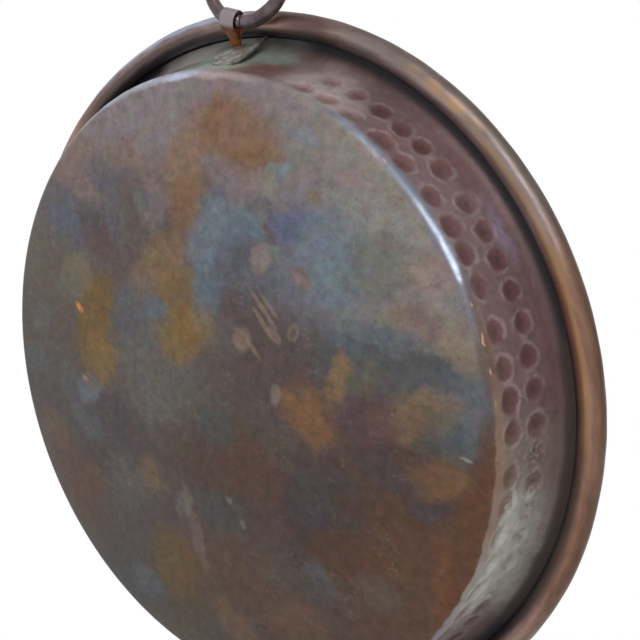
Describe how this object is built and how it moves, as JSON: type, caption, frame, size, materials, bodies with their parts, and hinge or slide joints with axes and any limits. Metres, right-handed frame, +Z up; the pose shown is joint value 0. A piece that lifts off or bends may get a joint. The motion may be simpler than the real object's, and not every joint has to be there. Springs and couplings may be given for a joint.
{
  "type": "shallow copper bowl",
  "caption": "Small shallow hammered copper bowl, flat-based with a flared wall, a wired rim and a loose hanging ring in a folded strap under the rim.",
  "frame": {"origin": "centre of the underside of the flat base", "axes": "+Z up out of the bowl, +Y from the centre towards the hanging ring's strap, +X to the right seen from -Y"},
  "size_m": [0.12, 0.1306, 0.0115],
  "materials": {
    "hammered_copper": "old hammered copper, brown and slate patina, worn and half glossy",
    "iron_wire": "drawn iron wire, dark scale",
    "verdigris_copper": "copper under a pale grey-green verdigris, matt",
    "soft_solder": "tin solder gone dull grey",
    "bare_copper": "copper strip, worn orange, bright over the bend",
    "tarnished_ring": "copper wire gone dark grey-brown, rubbed paler on the crests"
  },
  "bodies": {
    "bowl": {"bowl_shell": "hammered_copper", "rim_wire": "iron_wire", "hanger_leaf": "verdigris_copper", "leaf_solder": "soft_solder", "ring_strap": "bare_copper"},
    "ring": {"hanging_ring": "tarnished_ring"}
  },
  "joints": [
    {"name": "ring_swing", "type": "hinge", "parent": "bowl", "child": "ring", "pos_m": [0, 0.05765, 0.0055], "axis": [0.9667, 0.1879, -0.1736], "range_deg": [-136, 6]}
  ]
}
